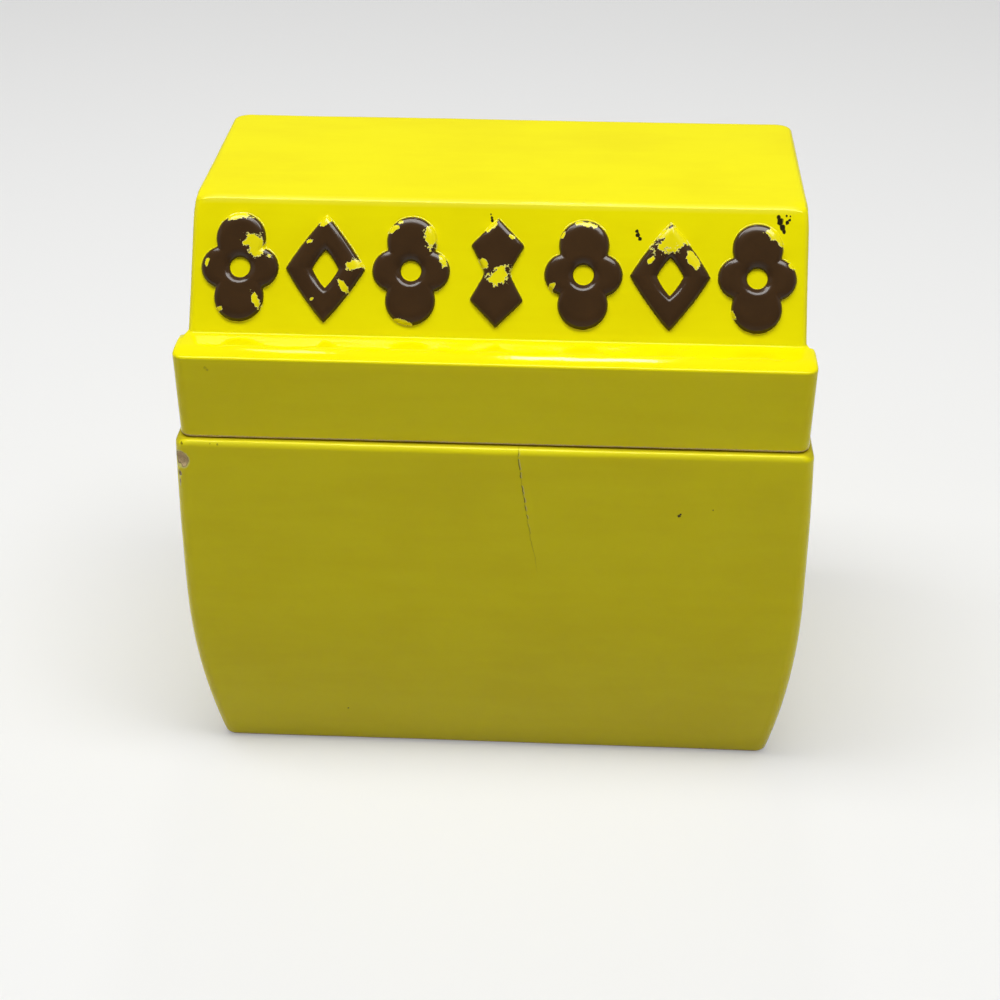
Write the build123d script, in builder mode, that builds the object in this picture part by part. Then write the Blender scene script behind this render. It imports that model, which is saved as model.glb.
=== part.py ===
from build123d import *
from math import atan2, cos, sin
import os

# An index card box in glazed slip-cast ceramic, in millimetres: an open base that the cards stand
# in, a loose lid that lifts off, and a row of raised ornaments on the lid's sloping front panel.
# The frame: +X to the object's right as seen from its front, +Y to its back, +Z up, and the origin
# on the table, under the middle of the base.

# ---- Base: a box whose four walls swell a little and then draw in to the foot ----
base_width = 165.0          # across the widest part of the side walls
base_depth = 103.4          # the same, front to back
base_height = 98.5          # table to the top of the rim
widest_height = 54.0        # where the walls stand furthest out
foot_draw = 6.1             # how far each wall is drawn in at the table
top_draw = 0.8              # how far each wall leans in again at the rim
base_wall = 4.5             # wall thickness
floor_thickness = 6.0       # table to the inside floor
corner_radius = 3.2         # upright outside corners
cavity_corner_radius = 6.0  # upright inside corners
floor_radius = 3.5          # where the inside walls meet the floor
shoulder_radius = 2.4       # outer edge of the rim
mouth_radius = 0.8          # inner edge of the rim
foot_radius = 1.3           # edge that the walls turn in on at the table
foot_ring = 7.0             # width of the ring that the box stands on
foot_recess = 1.2           # how far the underside inside that ring is hollowed

# ---- Lid: a crown with a sloping front, a grip lip in front of it and a low rim round the rest ----
lid_end_inset = 0.7         # how far the lid stays inside the base's rim at its left and right ends
lid_face_inset = 1.9        # the same at the front and at the back
glaze_gap = 0.2             # hairline between the lid's seat and the rim
lip_height = 23.5           # seam to the ledge on top of the lip
lip_depth = 12.6            # how far the ledge runs back to the foot of the panel
crown_inset = 2.15          # how far the crown's sides and back stay inside the lip's ends
panel_rise = 29.0           # height of the sloping panel
panel_run = 20.5            # how far it leans back over that height
panel_foot_radius = 1.2     # hollow where the panel rises out of the ledge
rim_height = 9.0            # low rim along the sides and the back
lid_wall = 4.5              # wall thickness
lid_corner_radius = 3.0     # upright corners of the lip and the rim
lip_edge_radius = 2.4       # edges of the ledge
lip_back_radius = 1.8       # upright back corners of the lip's two ends
crown_back_radius = 4.0     # upright back corners of the crown
crown_edge_radius = 1.7     # edges of the crown's top and of the panel's ends
rim_edge_radius = 1.2       # top edge of the low rim
seat_edge_radius = 0.9      # lower outer edge, at the seam
flange_clearance = 1.0      # between the locating flange and the base's mouth, each side
flange_thickness = 3.5
flange_depth = 5.5          # how far the flange hangs into the mouth
flange_rise = 7.0           # how far it runs up the inside of the lid's wall, and is one with it
flange_edge_radius = 0.8

# ---- Raised ornaments, in a row on the panel ----
ornament_end_margin = 12.95 # from each end of the panel to the middle of the outermost ornament
ornament_height = 28.4
ornament_margin = 3.0       # from the foot of the panel to the lowest point of an ornament
ornament_relief = 1.7       # how far they stand out of the panel
ornament_rounding = 1.1     # rounding of their upper edges
lozenge_width = 21.4        # between its side tips, before they are rounded
lozenge_height = 31.0       # between its upper and lower tips, before they are rounded
lozenge_tip_radius = 2.0
lozenge_window_width = 6.4
lozenge_window_height = 9.4
lozenge_window_radius = 0.7
side_lobe_radius = 5.6      # a quatrefoil's lobes to its left and right
side_lobe_offset = 4.5
end_lobe_radius = 6.5       # its lobes at the top and at the bottom
lobe_notch_radius = 0.8     # rounding of the notch between two lobes
quatrefoil_window_radius = 2.5
chain_width = 14.0          # the narrow ornament in the middle: two lozenges joined in a chain
chain_waist = 6.0
chain_corner_radius = 1.0

# ---- Places that follow from those sizes ----
rim_half_width = base_width / 2 - top_draw
rim_half_depth = base_depth / 2 - top_draw
mouth_half_width = rim_half_width - base_wall
mouth_half_depth = rim_half_depth - base_wall
seat = base_height + glaze_gap
lid_half_width = rim_half_width - lid_end_inset
lid_half_depth = rim_half_depth - lid_face_inset
rim_middle = seat + rim_height / 2
ledge = seat + lip_height
crown_top = ledge + panel_rise
crown_half_width = lid_half_width - crown_inset
crown_front = lip_depth - lid_half_depth
lip_back = crown_front + lip_edge_radius
panel_top = crown_front + panel_run
crown_back = lid_half_depth - crown_inset
flange_half_width = mouth_half_width - flange_clearance
flange_half_depth = mouth_half_depth - flange_clearance
flange_corner = cavity_corner_radius - flange_clearance
panel_slope = atan2(panel_rise, panel_run)
ornament_pitch = (crown_half_width - ornament_end_margin) / 3  # three stand each side of the middle one


def swelling_block(inset, corner, low, high):
    """The base's outside, or the same block with all four walls moved in by an inset.

    Each pair of walls has one outline: an arc from the foot to the widest height, and a flatter
    arc from there to the rim, both upright where they meet. Above the rim the walls go straight
    up. The two outlines are pushed through each other, the corners are rounded, and the block is
    trimmed to the heights asked for.
    """
    above_rim = base_height + base_wall
    with BuildPart() as block:
        for plane, size, how in (
            (Plane.XZ, base_width, Mode.ADD),
            (Plane.YZ, base_depth, Mode.INTERSECT),
        ):
            widest = size / 2 - inset
            foot = widest - foot_draw
            rim = widest - top_draw
            with BuildSketch(plane):
                with BuildLine():
                    Line((-foot, 0), (foot, 0))
                    TangentArc((widest, widest_height), (foot, 0), tangent=(0, -1))
                    TangentArc((widest, widest_height), (rim, base_height), tangent=(0, 1))
                    Polyline((rim, base_height), (rim, above_rim), (-rim, above_rim), (-rim, base_height))
                    TangentArc((-widest, widest_height), (-rim, base_height), tangent=(0, 1))
                    TangentArc((-widest, widest_height), (-foot, 0), tangent=(0, -1))
                make_face()
            extrude(amount=base_width, both=True, mode=how)
        upright = block.edges().filter_by(lambda edge: edge.bounding_box().size.Z > 0.1)
        fillet(upright, corner)
        if low > 0:
            split(bisect_by=Plane.XY.offset(low), keep=Keep.TOP)
        if high < above_rim:
            split(bisect_by=Plane.XY.offset(high), keep=Keep.BOTTOM)
    return block.part


# ---- Base ----
with BuildPart() as card_space:
    add(swelling_block(base_wall, cavity_corner_radius, floor_thickness, base_height + base_wall))
    fillet(card_space.faces().sort_by(Axis.Z)[0].edges(), floor_radius)

with BuildPart() as base:
    add(swelling_block(0, corner_radius, 0, base_height))
    add(card_space.part, mode=Mode.SUBTRACT)
    rim_face = base.faces().sort_by(Axis.Z)[-1]
    fillet(rim_face.outer_wire().edges(), shoulder_radius)
    rim_face = base.faces().sort_by(Axis.Z)[-1]
    fillet(rim_face.inner_wires()[0].edges(), mouth_radius)
    fillet(base.faces().sort_by(Axis.Z)[0].edges(), foot_radius)
    with BuildSketch(Plane.XY):
        RectangleRounded(
            base_width - 2 * (foot_draw + foot_ring),
            base_depth - 2 * (foot_draw + foot_ring),
            corner_radius,
        )
    extrude(amount=foot_recess, mode=Mode.SUBTRACT)

# ---- Lid ----
# The lip and the crown rise out of the rim, so both start at its middle, inside it.
with BuildPart() as lip:
    with BuildSketch(Plane.XY.offset(rim_middle)):
        with Locations((0, (lip_back - lid_half_depth) / 2)):
            Rectangle(2 * lid_half_width, lip_back + lid_half_depth)
    extrude(amount=ledge - rim_middle)
    lip_uprights = lip.edges().filter_by(Axis.Z).group_by(Axis.Y)
    fillet(lip_uprights[0], lid_corner_radius)
    lip_uprights = lip.edges().filter_by(Axis.Z).group_by(Axis.Y)
    fillet(lip_uprights[-1], lip_back_radius)
    fillet(lip.faces().sort_by(Axis.Z)[-1].edges(), lip_edge_radius)

with BuildPart() as crown:
    with BuildSketch(Plane.YZ):
        with BuildLine():
            Polyline(
                (crown_front, rim_middle),
                (crown_front, ledge),
                (panel_top, crown_top),
                (crown_back, crown_top),
                (crown_back, rim_middle),
                close=True,
            )
        make_face()
    extrude(amount=crown_half_width, both=True)
    fillet(crown.edges().filter_by(Axis.Z).group_by(Axis.Y)[-1], crown_back_radius)
    crown_face = crown.faces().sort_by(Axis.Z)[-1]
    panel_ends = crown.edges().filter_by(lambda edge: abs(edge.tangent_at(0).Y * edge.tangent_at(0).Z) > 0.1)
    fillet(crown_face.edges() + panel_ends, crown_edge_radius)

with BuildPart() as lid_space:
    with BuildSketch(Plane.YZ):
        with BuildLine():
            Polyline(
                (-lid_half_depth, seat - flange_depth - 2 * lid_wall),
                (-lid_half_depth, ledge),
                (crown_front, ledge),
                (panel_top, crown_top),
                (crown_back, crown_top),
                (crown_back, seat - flange_depth - 2 * lid_wall),
                close=True,
            )
        make_face()
        offset(amount=-lid_wall, kind=Kind.INTERSECTION, mode=Mode.REPLACE)
    extrude(amount=crown_half_width - lid_wall, both=True)
    fillet(lid_space.edges().filter_by(Axis.Z), lid_corner_radius)

with BuildPart() as lid:
    with BuildSketch(Plane.XY.offset(seat)):
        RectangleRounded(2 * lid_half_width, 2 * lid_half_depth, lid_corner_radius)
    extrude(amount=rim_height)
    fillet(lid.faces().sort_by(Axis.Z)[-1].edges(), rim_edge_radius)
    fillet(lid.faces().sort_by(Axis.Z)[0].edges(), seat_edge_radius)
    add(lip.part)
    add(crown.part)
    across_the_lid = lid.edges().filter_by(Axis.X).filter_by_position(Axis.Z, ledge, ledge)
    fillet(across_the_lid.filter_by_position(Axis.Y, crown_front, crown_front), panel_foot_radius)
    add(lid_space.part, mode=Mode.SUBTRACT)
    with BuildSketch(Plane.XY.offset(seat - flange_depth)):
        RectangleRounded(2 * flange_half_width, 2 * flange_half_depth, flange_corner)
        RectangleRounded(
            2 * (flange_half_width - flange_thickness),
            2 * (flange_half_depth - flange_thickness),
            flange_corner,
            mode=Mode.SUBTRACT,
        )
    extrude(amount=flange_depth + flange_rise)
    fillet(lid.faces().sort_by(Axis.Z)[0].edges(), flange_edge_radius)


# ---- Ornaments ----
def panel_plane(across):
    """The plane of the sloping panel, at the middle of the ornament that stands that far across."""
    up_slope = ornament_margin + ornament_height / 2
    return Plane(
        origin=(across, crown_front + up_slope * cos(panel_slope), ledge + up_slope * sin(panel_slope)),
        x_dir=(1, 0, 0),
        z_dir=(0, -sin(panel_slope), cos(panel_slope)),
    )


def upper_edges(part, plane):
    """The edges of the face that a raised ornament turns outwards."""
    return part.faces().sort_by(Axis(plane.origin, plane.z_dir))[-1].edges()


def lozenge(across):
    """A lozenge with a small lozenge-shaped window."""
    plane = panel_plane(across)
    with BuildPart() as ornament:
        with BuildSketch(plane) as outline:
            with BuildLine():
                Polyline(
                    (-lozenge_width / 2, 0),
                    (0, lozenge_height / 2),
                    (lozenge_width / 2, 0),
                    (0, -lozenge_height / 2),
                    close=True,
                )
            make_face()
            fillet(outline.vertices(), lozenge_tip_radius)
            with BuildSketch(mode=Mode.SUBTRACT) as window:
                with BuildLine():
                    Polyline(
                        (-lozenge_window_width / 2, 0),
                        (0, lozenge_window_height / 2),
                        (lozenge_window_width / 2, 0),
                        (0, -lozenge_window_height / 2),
                        close=True,
                    )
                make_face()
                fillet(window.vertices(), lozenge_window_radius)
        extrude(amount=ornament_relief)
        fillet(upper_edges(ornament.part, plane), ornament_rounding)
    return ornament


def quatrefoil(across):
    """Four lobes round a circular window, taller than it is wide."""
    plane = panel_plane(across)
    end_lobe_offset = ornament_height / 2 - end_lobe_radius
    with BuildPart() as ornament:
        with BuildSketch(plane) as outline:
            with Locations((-side_lobe_offset, 0), (side_lobe_offset, 0)):
                Circle(side_lobe_radius)
            with Locations((0, -end_lobe_offset), (0, end_lobe_offset)):
                Circle(end_lobe_radius)
            notches = outline.vertices().filter_by(lambda v: abs(v.X) > 0.1 and abs(v.Y) > 0.1)
            fillet(notches, lobe_notch_radius)
            Circle(quatrefoil_window_radius, mode=Mode.SUBTRACT)
        extrude(amount=ornament_relief)
        fillet(upper_edges(ornament.part, plane), ornament_rounding)
    return ornament


def chain(across):
    """Two plain lozenges, one above the other, joined at a narrow waist."""
    plane = panel_plane(across)
    with BuildPart() as ornament:
        with BuildSketch(plane) as outline:
            with BuildLine():
                Polyline(
                    (0, ornament_height / 2),
                    (chain_width / 2, ornament_height / 4),
                    (chain_waist / 2, 0),
                    (chain_width / 2, -ornament_height / 4),
                    (0, -ornament_height / 2),
                    (-chain_width / 2, -ornament_height / 4),
                    (-chain_waist / 2, 0),
                    (-chain_width / 2, ornament_height / 4),
                    close=True,
                )
            make_face()
            fillet(outline.vertices(), chain_corner_radius)
        extrude(amount=ornament_relief)
        fillet(upper_edges(ornament.part, plane), ornament_rounding)
    return ornament


# The row, from left to right, the same on both sides of the chain in the middle.
ornaments = {
    "quatrefoil_1": quatrefoil(-3 * ornament_pitch),
    "lozenge_1": lozenge(-2 * ornament_pitch),
    "quatrefoil_2": quatrefoil(-ornament_pitch),
    "chain": chain(0),
    "quatrefoil_3": quatrefoil(ornament_pitch),
    "lozenge_2": lozenge(2 * ornament_pitch),
    "quatrefoil_4": quatrefoil(3 * ornament_pitch),
}

# ---- One file for each piece ----
os.makedirs("parts", exist_ok=True)
base.part.label = "base"
export_step(base.part, "parts/base.step")
lid.part.label = "lid"
export_step(lid.part, "parts/lid.step")
for name, ornament in ornaments.items():
    ornament.part.label = name
    export_step(ornament.part, f"parts/{name}.step")
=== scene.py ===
# %% [markdown]
# An index card box in yellow glazed ceramic.
#
# The box is two castings of slip: a base whose walls swell a little, and a loose lid with a grip
# lip, a sloping panel and a flat crown. A row of raised ornaments on the panel is painted with a
# thick brown enamel that has flaked with use. The engineering model gives every piece its size and
# place, and this lesson gives them the soft shapes and the finish of the fired object.
#
# First the model is loaded.

# %% Load the frame
from math import atan2, degrees, pi, radians

import bmesh
import bpy
import numpy as np
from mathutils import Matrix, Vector


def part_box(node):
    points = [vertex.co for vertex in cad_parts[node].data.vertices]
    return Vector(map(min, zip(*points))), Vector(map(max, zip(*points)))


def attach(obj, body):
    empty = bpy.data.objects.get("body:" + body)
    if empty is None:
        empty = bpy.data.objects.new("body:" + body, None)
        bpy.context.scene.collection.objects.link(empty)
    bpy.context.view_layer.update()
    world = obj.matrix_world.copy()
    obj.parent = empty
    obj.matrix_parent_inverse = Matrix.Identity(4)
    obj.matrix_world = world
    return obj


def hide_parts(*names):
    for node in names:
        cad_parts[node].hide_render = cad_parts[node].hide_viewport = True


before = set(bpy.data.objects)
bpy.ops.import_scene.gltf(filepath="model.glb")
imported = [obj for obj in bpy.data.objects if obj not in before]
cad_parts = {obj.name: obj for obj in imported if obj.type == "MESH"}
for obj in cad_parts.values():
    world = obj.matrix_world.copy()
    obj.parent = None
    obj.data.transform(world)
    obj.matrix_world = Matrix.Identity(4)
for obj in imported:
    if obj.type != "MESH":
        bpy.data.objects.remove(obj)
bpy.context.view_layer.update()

MM = 0.001
scene = bpy.context.scene
print("nodes:", ", ".join(sorted(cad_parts)))

# %% [markdown]
# The camera stands a little to the right of the middle and looks down at about 31 degrees through
# a long lens, as a person does who photographs a small thing in front of them. A long lens keeps
# the upright edges nearly parallel. The camera could be placed by trying, but its place was found
# by matching the box's own corners, which settles the lens as well.

# %% The camera
camera_data = bpy.data.cameras.new("camera")
camera_data.lens = 68.83
camera_data.sensor_width = 36.0
camera = bpy.data.objects.new("camera", camera_data)
camera.location = (0.0254, -0.4723, 0.3378)
camera.rotation_euler = (radians(58.94), 0, radians(3.165))
scene.collection.objects.link(camera)
scene.camera = camera
print("camera at", tuple(round(c, 4) for c in camera.location))

# %% [markdown]
# Slip casting softens every edge: the plaster mould has no sharp corners, and the glaze rounds
# what is left. Boxes with a bevel would look much the same from afar, but their long faces shade
# unevenly, and a glossy glaze shows that. So both castings are grids of even faces, whose columns
# run round the piece and whose rows follow its profile. The columns stand on a rectangle with
# rounded corners.

# %% Columns round a rectangle
def rectangle_columns(front, side, corner_steps):
    """The columns of a rounded rectangle, anticlockwise from the left end of the front.

    front and side hold places from -1 to 1 along the straight stretches. A column is four numbers:
    where it stands between the corners' circles (-1 to 1, across and back), and the direction that
    it faces. Its point in a rectangle is that place on the inner rectangle plus the corner radius
    times the direction.
    """
    turn = np.linspace(0, pi / 2, corner_steps + 2)[1:-1]
    parts = []
    for quarter, (along, x_sign, y_sign) in enumerate(
        ((front, 1, -1), (side, 1, 1), (front, -1, 1), (side, -1, -1))
    ):
        facing = quarter * pi / 2 - pi / 2
        straight = np.zeros((len(along), 4))
        straight[:, 0] = (along, np.ones_like(along), -along, -np.ones_like(along))[quarter]
        straight[:, 1] = (-np.ones_like(along), along, np.ones_like(along), -along)[quarter]
        straight[:, 2] = np.cos(facing)
        straight[:, 3] = np.sin(facing)
        arc = np.zeros((corner_steps, 4))
        arc[:, 0] = x_sign
        arc[:, 1] = y_sign
        arc[:, 2] = np.cos(facing + turn)
        arc[:, 3] = np.sin(facing + turn)
        parts += [straight, arc]
    return np.concatenate(parts)


trial = rectangle_columns(np.array([-1.0, 1.0]), np.array([-1.0, 1.0]), 3)
print("two columns on each side and three in each corner make", len(trial))

# %% [markdown]
# The profile is first listed with sharp corners, which are easy to measure, and one function turns
# each of them into an arc. A Bevel modifier could do that too, but here every arc has its own
# size, and one arc's size may change on its way round the piece.

# %% Arcs in place of corners
ARC_STEPS = 7
LONGEST_CUT = 0.48


def arcs_for_corners(profile):
    """A grid of points, a row for each step along the profile and a column round the piece.

    Each row of the profile holds a corner's point in every column, its arc's cut, and the steps
    on the stretch before it. An arc starts a cut before its corner and ends a cut after it, and
    takes less than half of each stretch, so that two arcs never meet. The middle point of a
    rational parabola weighs the cosine of half the turn, which makes it a true circle.
    """
    corners = np.array([row[0] for row in profile])
    ahead = np.diff(corners, axis=0)
    length = np.linalg.norm(ahead, axis=2, keepdims=True)
    ahead = ahead / np.maximum(length, 1e-9)
    rows = [corners[:1]]
    for k in range(1, len(corners) - 1):
        _, wanted_cut, steps = profile[k]
        cut = np.minimum(wanted_cut, LONGEST_CUT * np.minimum(length[k - 1], length[k]))
        start = corners[k] - ahead[k - 1] * cut
        end = corners[k] + ahead[k] * cut
        turn = np.sum(ahead[k - 1] * ahead[k], axis=1, keepdims=True)
        weight = np.sqrt(np.clip((1 + turn) / 2, 0.05, 1))
        t = np.linspace(0, 1, steps + 1)[1:, None, None]
        rows.append(rows[-1][-1:] * (1 - t) + start * t)
        t = np.linspace(0, 1, ARC_STEPS + 1)[1:, None, None]
        first, middle, last = (1 - t) ** 2, 2 * weight * t * (1 - t), t**2
        rows.append((first * start + middle * corners[k] + last * end) / (first + middle + last))
    t = np.linspace(0, 1, profile[-1][2] + 1)[1:, None, None]
    rows.append(rows[-1][-1:] * (1 - t) + corners[-1:] * t)
    return np.concatenate(rows)


square_corner = [([[0.0, 0.0, 0.0]], 0.0, 0), ([[1.0, 0.0, 0.0]], 0.4, 1), ([[1.0, 1.0, 0.0]], 0.0, 1)]
on_arc = arcs_for_corners(square_corner)[1:-1, 0]
radii = np.linalg.norm(on_arc - np.array([0.6, 0.4, 0.0]), axis=1)
print("a trial arc's radius is between", radii.min().round(4), "and", radii.max().round(4))

# %% [markdown]
# A hand-finished casting is never quite flat. Long waves come from the drying clay, and short ones
# from the brushed glaze. A noise texture could bump them, but only a shape bends the outline too.
# Both kinds are sums of sines of the place, so that pieces that touch move together.

# %% Waves in the clay
WAVES = (
    # depth in mm, and waves in a metre along x, y and z
    (0.060, 13.0, 9.0, 11.0),
    (0.040, -7.0, 19.0, 23.0),
    (0.018, 41.0, -33.0, 29.0),
    (0.010, -63.0, 71.0, 57.0),
    (0.004, 150.0, -170.0, 190.0),
)
PHASE_STEP = 1.7


def waves(points):
    """How far the clay lies below its ideal surface, in metres: a sum of sines, never negative."""
    depth = np.zeros(len(points))
    for number, (height, x, y, z) in enumerate(WAVES):
        phase = points @ np.array([x, y, z]) * 2 * pi + PHASE_STEP * number
        depth += height * MM * (1 + np.sin(phase)) / 2
    return depth


print("the waves are at most", round(sum(wave[0] for wave in WAVES), 3), "mm deep")

# %% [markdown]
# A grid becomes a mesh, and its doubled points are merged, so that seams and poles close. After
# that a piece can be pushed in along its normals. It goes inwards only, so that nothing grows. A
# piece takes the place of its node in the engineering model, and rides on the same body.

# %% Meshes from grids
MERGE_WITHIN = 2e-6
NO_LENGTH = 1e-7


def grid_mesh(name, grid, wrap_rows=False):
    """A mesh from a grid that is closed round its columns, with doubled points merged."""
    rows, columns = grid.shape[:2]
    index = np.arange(rows * columns).reshape(rows, columns)
    if wrap_rows:
        index = np.concatenate([index, index[:1]])
    index = np.concatenate([index, index[:, :1]], axis=1)
    quads = np.stack([index[:-1, :-1], index[:-1, 1:], index[1:, 1:], index[1:, :-1]], axis=-1)
    mesh = bpy.data.meshes.new(name)
    mesh.from_pydata(grid.reshape(-1, 3), [], quads.reshape(-1, 4))
    solid = bmesh.new()
    solid.from_mesh(mesh)
    bmesh.ops.remove_doubles(solid, verts=solid.verts, dist=MERGE_WITHIN)
    bmesh.ops.dissolve_degenerate(solid, dist=NO_LENGTH, edges=solid.edges)
    solid.to_mesh(mesh)
    solid.free()
    mesh.shade_smooth()
    return mesh


def points_of(mesh, what="co"):
    """The places or the normals of a mesh's points, one row each."""
    values = np.zeros(len(mesh.vertices) * 3)
    mesh.vertices.foreach_get(what, values)
    return values.reshape(-1, 3)


def move_points(mesh, places):
    """Puts each point of a mesh at a new place."""
    mesh.vertices.foreach_set("co", places.ravel())
    mesh.update()


def note(mesh, name, values):
    """Writes one number for each point, which a finish can read by its name."""
    mesh.attributes.new(name, "FLOAT", "POINT").data.foreach_set("value", values.astype(np.float32))


def place_piece(name, mesh, node, body, finish):
    """Puts a finished mesh in place of a node of the model."""
    piece = bpy.data.objects.new(name, mesh)
    scene.collection.objects.link(piece)
    mesh.materials.append(finish)
    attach(piece, body)
    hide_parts(node)
    triangles = sum(len(face.vertices) - 2 for face in mesh.polygons)
    print(name, "has", triangles, "triangles")


print("points closer than", MERGE_WITHIN / MM, "mm are merged")

# %% [markdown]
# A glaze is easiest to describe as sums: this mask times that noise, plus a little more. Blender
# builds sums from nodes, which could be wired by hand in the editor. Here a small class wraps a
# node's output, and the usual signs add the Math nodes, so that a finish reads like its formula.

# %% A wire that can be summed
class Wire:
    """One output of a node. The signs + - * on it add Math nodes."""

    def __init__(self, finish, socket):
        self.finish = finish
        self.socket = socket

    def math(self, operation, first, second=0.0):
        """A Math node on one or two numbers or wires."""
        return self.finish.node("ShaderNodeMath", {"operation": operation}, {0: first, 1: second})

    def __getitem__(self, name):
        return Wire(self.finish, self.socket.node.outputs[name])

    def __add__(self, other):
        return self.math("ADD", self, other)

    def __radd__(self, other):
        return self.math("ADD", other, self)

    def __sub__(self, other):
        return self.math("SUBTRACT", self, other)

    def __rsub__(self, other):
        return self.math("SUBTRACT", other, self)

    def __mul__(self, other):
        return self.math("MULTIPLY", self, other)

    def __rmul__(self, other):
        return self.math("MULTIPLY", other, self)

    def __abs__(self):
        return self.math("ABSOLUTE", self)


print("a wire can be added, subtracted, multiplied and made positive")

# %% [markdown]
# Every other node comes from one method, which takes the node's type, its settings and what goes
# into its sockets. The methods after it name the few patterns that the finishes are made of.
# Patterns could follow the window or the camera, but these read the place on the object, or a
# number that the mesh carries, so that they stay where they are in every view.

# %% A finish under construction
class Finish:
    """A material under construction, or a world."""

    def __init__(self, owner):
        self.owner = owner
        owner.use_nodes = True
        self.tree = owner.node_tree
        self.tree.nodes.clear()
        self.place = self.node("ShaderNodeTexCoord", {}, {})["Object"]
        self.axes = self.node("ShaderNodeSeparateXYZ", {}, {"Vector": self.place})

    def node(self, kind, settings, sockets):
        """Adds a node: first its settings, then the value or link of each socket."""
        node = self.tree.nodes.new(kind)
        for name, value in settings.items():
            setattr(node, name, value)
        for name, value in sockets.items():
            if isinstance(value, Wire):
                self.tree.links.new(value.socket, node.inputs[name])
            else:
                node.inputs[name].default_value = value
        return Wire(self, node.outputs[0]) if node.outputs else None

    def step(self, value, low, high):
        """0 at low, 1 at high and a smooth rise between them. low may be above high."""
        return self.node(
            "ShaderNodeMapRange",
            {"interpolation_type": "SMOOTHSTEP"},
            {"Value": value, "From Min": low, "From Max": high},
        )

    def noise(self, scale, detail=2.0, roughness=0.5, place=None):
        """Noise with about scale cells in a metre, around 0.5."""
        sockets = {"Scale": scale, "Detail": detail, "Roughness": roughness}
        return self.node("ShaderNodeTexNoise", {}, {"Vector": place or self.place, **sockets})

    def mix(self, factor, first, second):
        """The first colour where the factor is 0, the second where it is 1."""
        sockets = {0: factor, 6: first, 7: second}
        return self.node("ShaderNodeMix", {"data_type": "RGBA"}, sockets)["Result"]

    def stretched(self, x, y, z):
        """The place with each axis multiplied: a pattern runs long where the number is small."""
        return self.node("ShaderNodeMapping", {}, {"Vector": self.place, "Scale": (x, y, z)})

    def mark(self, name):
        """A number that the mesh carries at each of its points."""
        return self.node("ShaderNodeAttribute", {"attribute_name": name}, {})["Fac"]

    def most(self, first, second):
        """The larger of two numbers."""
        return self.node("ShaderNodeMath", {"operation": "MAXIMUM"}, {0: first, 1: second})

    def spots(self, places):
        """Small ragged spots on the front: x, z and radius in mm, then how dark each is."""
        flat = self.node(
            "ShaderNodeVectorMath", {"operation": "MULTIPLY"}, {0: self.place, 1: (1, 0, 1)}
        )
        ragged = (self.noise(1300, 2.0, 0.6) - 0.5) * (0.7 * MM)
        inside = 0.0
        for x, z, radius, dark in places:
            away = self.node(
                "ShaderNodeVectorMath", {"operation": "DISTANCE"}, {0: flat, 1: (x * MM, 0, z * MM)}
            )["Value"]
            spot = self.step(away + ragged, radius * MM, 0.7 * radius * MM) * dark
            inside = self.most(inside, spot)
        return inside * self.step(self.axes["Y"], -10 * MM, -12 * MM)

    def seen(self):
        """1 where the camera looks, straight or by a reflection, and 0 for light on its way."""
        ray = self.node("ShaderNodeLightPath", {}, {})
        reflected = self.most(ray["Is Glossy Ray"], ray["Is Transmission Ray"])
        return self.most(ray["Is Camera Ray"], reflected)

    def bump(self, height, depth, under=None):
        """A normal that tilts as a relief of that depth, in metres, would."""
        sockets = {"Height": height, "Distance": depth, "Strength": 1.0}
        if under is not None:
            sockets["Normal"] = under
        return self.node("ShaderNodeBump", {}, sockets)

    def done(self, shader):
        """Joins the shader to the output, and gives back the finished material or world."""
        kind = "World" if isinstance(self.owner, bpy.types.World) else "Material"
        self.node("ShaderNodeOutput" + kind, {}, {"Surface": shader})
        return self.owner


print("a finish offers:", ", ".join(name for name in vars(Finish) if not name.startswith("_")))

# %% [markdown]
# The box carries the marks of its firing. Black specks were fired into the glaze of the base, and a
# little enamel missed the ornaments and dried on the panel. Random spots would be quicker, but
# these few are what the eye remembers, so each has its own place and size. One that is drawn out
# is a short chain of them.

# %% Specks and stray drops
BASE_SPECKS = (
    # across, height and radius in mm, and how dark
    (48.2, 80.6, 0.42, 1.0),
    (48.6, 81.1, 0.26, 1.0),
    (56.8, 82.6, 0.24, 0.8),
    (-40.5, 12.8, 0.26, 0.8),
    (-70.3, 97.7, 0.26, 0.5),
    (-72.2, 97.8, 0.24, 0.5),
    (-79.6, 97.6, 0.34, 0.7),
)
STRAY_ENAMEL = (
    (71.0, 149.2, 0.62, 1.0),
    (71.4, 148.3, 0.95, 1.0),
    (72.0, 147.1, 0.85, 1.0),
    (72.4, 146.2, 0.55, 1.0),
    (73.1, 148.1, 0.55, 1.0),
    (73.8, 148.7, 0.36, 1.0),
    (73.0, 149.6, 0.28, 1.0),
    (73.9, 149.5, 0.22, 1.0),
    (35.2, 145.7, 0.45, 1.0),
    (35.5, 144.9, 0.62, 1.0),
    (36.0, 144.1, 0.50, 1.0),
    (-1.6, 147.2, 0.45, 1.0),
    (-1.8, 147.9, 0.34, 1.0),
    (-2.0, 148.6, 0.24, 1.0),
    (-72.3, 118.5, 0.40, 0.25),
    (-71.8, 117.8, 0.40, 0.30),
)
print(len(BASE_SPECKS), "specks on the base and", len(STRAY_ENAMEL), "drops on the lid")

# %% [markdown]
# A hairline crack starts at the base's rim. Cut into the mesh it would need thousands of tiny
# faces, so it is drawn in the finish: a line whose place across depends on the height, wandering
# as noise does. It is darker and broken into dashes above, where one edge is chipped pale.

# %% The hairline crack
CRACK_X = 6.7 * MM
CRACK_TURN = 96.2 * MM
CRACK_FOOT = 60.0 * MM


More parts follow.
